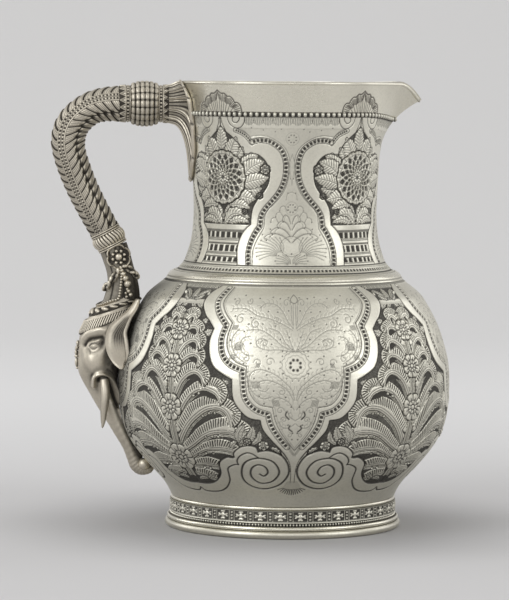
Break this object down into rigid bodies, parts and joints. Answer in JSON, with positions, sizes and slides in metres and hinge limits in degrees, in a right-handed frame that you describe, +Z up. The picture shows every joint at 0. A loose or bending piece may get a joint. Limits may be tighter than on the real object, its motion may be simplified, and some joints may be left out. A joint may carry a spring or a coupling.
{
  "type": "silver water pitcher",
  "caption": "Bulbous footed water pitcher with a tall neck, a pointed pouring lip and a cast loop handle ending in an elephant head",
  "frame": {"origin": "centre of the foot, on the surface that the pitcher stands on", "axes": "+Z up along the vessel's axis, +X towards the pouring lip, -X towards the handle"},
  "size_m": [0.2002, 0.1666, 0.222],
  "materials": {
    "chased_silver": "silver sheet, chased and oxidised in the recesses, polished on the high parts",
    "polished_silver": "plain polished silver with fine handling scratches",
    "handle_silver": "cast silver with a warm brown patina in the recesses"
  },
  "bodies": {
    "root": {"body_shell": "chased_silver", "neck_shell": "chased_silver", "rim_collar": "polished_silver", "foot_top_moulding": "polished_silver", "foot_step_moulding": "polished_silver", "foot_base_ring": "polished_silver", "shoulder_band": "polished_silver", "foot_wall": "polished_silver", "neck_bead_wire": "chased_silver", "foot_frieze": "chased_silver", "foot_bead_wire": "chased_silver", "handle_socket": "handle_silver", "socket_tooth_ring": "handle_silver", "socket_bead_ring": "handle_silver", "melon_knob": "handle_silver", "grip_bead_ring": "handle_silver", "grip_tooth_ring": "handle_silver", "handle_grip": "handle_silver", "collar_top_ring": "handle_silver", "reeded_collar": "handle_silver", "collar_bottom_ring": "handle_silver", "handle_stem": "handle_silver", "elephant_head": "handle_silver", "left_ear": "handle_silver", "right_ear": "handle_silver", "left_tusk": "handle_silver", "right_tusk": "handle_silver", "trunk_ball": "handle_silver", "headdress_fringe": "handle_silver", "headdress_rope": "handle_silver", "headdress_beads": "handle_silver", "left_rosette": "handle_silver", "right_rosette": "handle_silver", "outer_swag": "handle_silver", "inner_swag": "handle_silver", "left_pendant": "handle_silver", "right_pendant": "handle_silver", "forehead_jewel": "handle_silver"}
  },
  "joints": []
}
